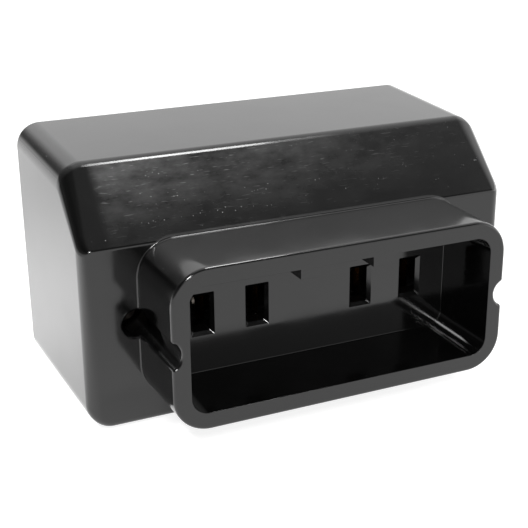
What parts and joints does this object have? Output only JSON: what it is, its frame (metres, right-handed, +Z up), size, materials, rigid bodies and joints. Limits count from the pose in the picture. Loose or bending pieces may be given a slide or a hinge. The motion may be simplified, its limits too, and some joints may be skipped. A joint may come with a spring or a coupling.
{
  "type": "industrial wall socket",
  "caption": "Surface-mounted industrial wall socket: a black moulded box with a sloping brow and a long rectangular shroud round its flat-pin contact windows.",
  "frame": {"origin": "on the wall plane, behind the middle of the contact row", "axes": "+X to the right as seen from the room, +Y into the wall, +Z up"},
  "size_m": [0.115, 0.0725, 0.0645],
  "materials": {
    "cover_phenolic": "glossy black phenolic moulding",
    "base_phenolic": "dark phenolic, satin",
    "brass": "dulled brass",
    "steel": "zinc-plated steel"
  },
  "bodies": {
    "root": {"cover": "cover_phenolic", "base": "base_phenolic", "contact_1": "brass", "contact_2": "brass", "contact_3": "brass", "contact_4": "brass", "contact_band_1": "steel", "contact_band_2": "steel", "contact_band_3": "steel", "contact_band_4": "steel", "fixing_screw_1": "steel", "fixing_screw_2": "steel", "fixing_screw_3": "steel", "fixing_screw_4": "steel", "terminal_screw_1": "brass", "terminal_screw_2": "brass", "terminal_screw_3": "brass", "terminal_screw_4": "brass", "terminal_washer_1": "brass", "terminal_washer_2": "brass", "terminal_washer_3": "brass", "terminal_washer_4": "brass", "cover_screw_left": "steel", "cover_screw_right": "steel", "insert_left": "brass", "insert_right": "brass", "cable_clamp": "steel", "clamp_screw_left": "steel", "clamp_screw_right": "steel"}
  },
  "joints": []
}
